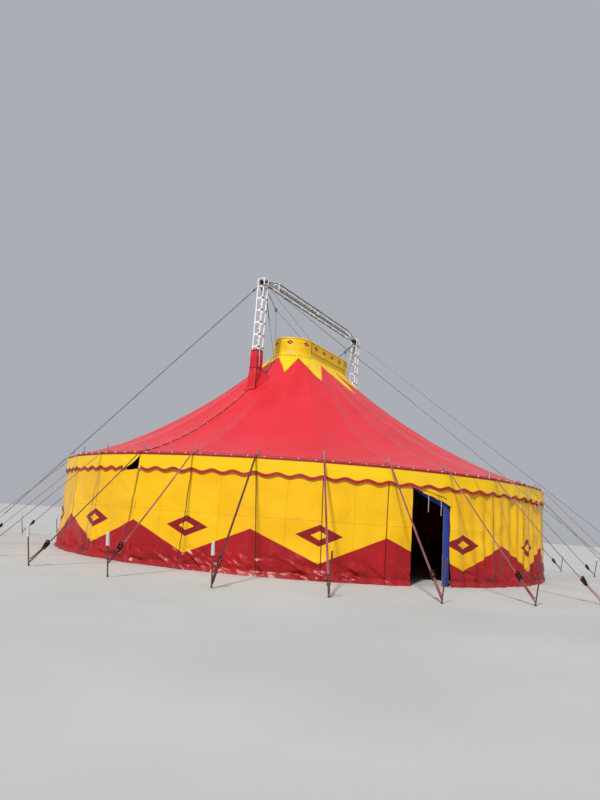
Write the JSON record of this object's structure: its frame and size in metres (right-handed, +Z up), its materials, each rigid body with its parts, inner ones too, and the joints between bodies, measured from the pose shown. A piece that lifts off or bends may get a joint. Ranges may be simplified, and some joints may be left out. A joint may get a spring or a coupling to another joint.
{
  "type": "circus big top tent",
  "caption": "Round circus tent with striped-border valance, zigzag side wall, lattice masts, ridge truss, hung cupola and strap guys to ground stakes.",
  "frame": {"origin": "on the ground at the middle of the tent", "axes": "+Z up; X along the ridge truss between the masts, with the entrance nearer the -X end; +Y across the ridge, away from the entrance side"},
  "size_m": [26.9992, 27.7472, 11.4],
  "materials": {
    "roof_cloth": "coated red tarpaulin, satin",
    "yellow_cloth": "coated yellow tarpaulin, satin",
    "wall_cloth": "coated tarpaulin, glossy, yellow over red zigzag",
    "blue_cloth": "woven blue curtain",
    "webbing": "woven polyester webbing, faded",
    "pole_steel": "galvanised steel tube",
    "mast_aluminium": "welded lattice, satin",
    "truss_aluminium": "welded lattice, weathered",
    "wire_rope": "galvanised wire rope"
  },
  "bodies": {
    "root": {"roof_panel_1": "roof_cloth", "roof_panel_2": "roof_cloth", "roof_panel_3": "roof_cloth", "roof_panel_4": "roof_cloth", "roof_panel_5": "roof_cloth", "roof_panel_6": "roof_cloth", "roof_panel_7": "roof_cloth", "roof_panel_8": "roof_cloth", "roof_collar": "yellow_cloth", "valance_1": "yellow_cloth", "valance_2": "yellow_cloth", "valance_3": "yellow_cloth", "valance_4": "yellow_cloth", "wall_panel_1": "wall_cloth", "wall_panel_2": "wall_cloth", "wall_panel_3": "wall_cloth", "wall_panel_4": "wall_cloth", "wall_panel_5": "wall_cloth", "wall_panel_6": "wall_cloth", "wall_panel_7": "wall_cloth", "wall_panel_8": "wall_cloth", "entrance_flap": "wall_cloth", "entrance_curtain": "blue_cloth", "side_poles_1": "pole_steel", "side_poles_2": "pole_steel", "side_poles_3": "pole_steel", "side_poles_4": "pole_steel", "guy_set_1": "webbing", "guy_set_2": "webbing", "guy_set_3": "webbing", "guy_set_4": "webbing", "guy_set_5": "webbing", "guy_set_6": "webbing", "guy_set_7": "webbing", "guy_set_8": "webbing", "mast_west": "mast_aluminium", "mast_east": "mast_aluminium", "mast_foot_west": "pole_steel", "mast_foot_east": "pole_steel", "mast_head_west": "pole_steel", "mast_head_east": "pole_steel", "ridge_truss_west": "truss_aluminium", "ridge_truss_east": "truss_aluminium", "mast_sleeve_west": "roof_cloth", "mast_sleeve_east": "roof_cloth", "cupola_frame": "pole_steel", "cupola_end_west": "yellow_cloth", "cupola_end_east": "yellow_cloth", "cupola_side_front": "yellow_cloth", "cupola_side_back": "yellow_cloth", "cupola_cover": "yellow_cloth", "mast_stay_1": "wire_rope", "mast_stay_2": "wire_rope", "mast_stay_3": "wire_rope", "mast_stay_4": "wire_rope", "cupola_hoist_west": "wire_rope", "cupola_hoist_east": "wire_rope"}
  },
  "joints": []
}
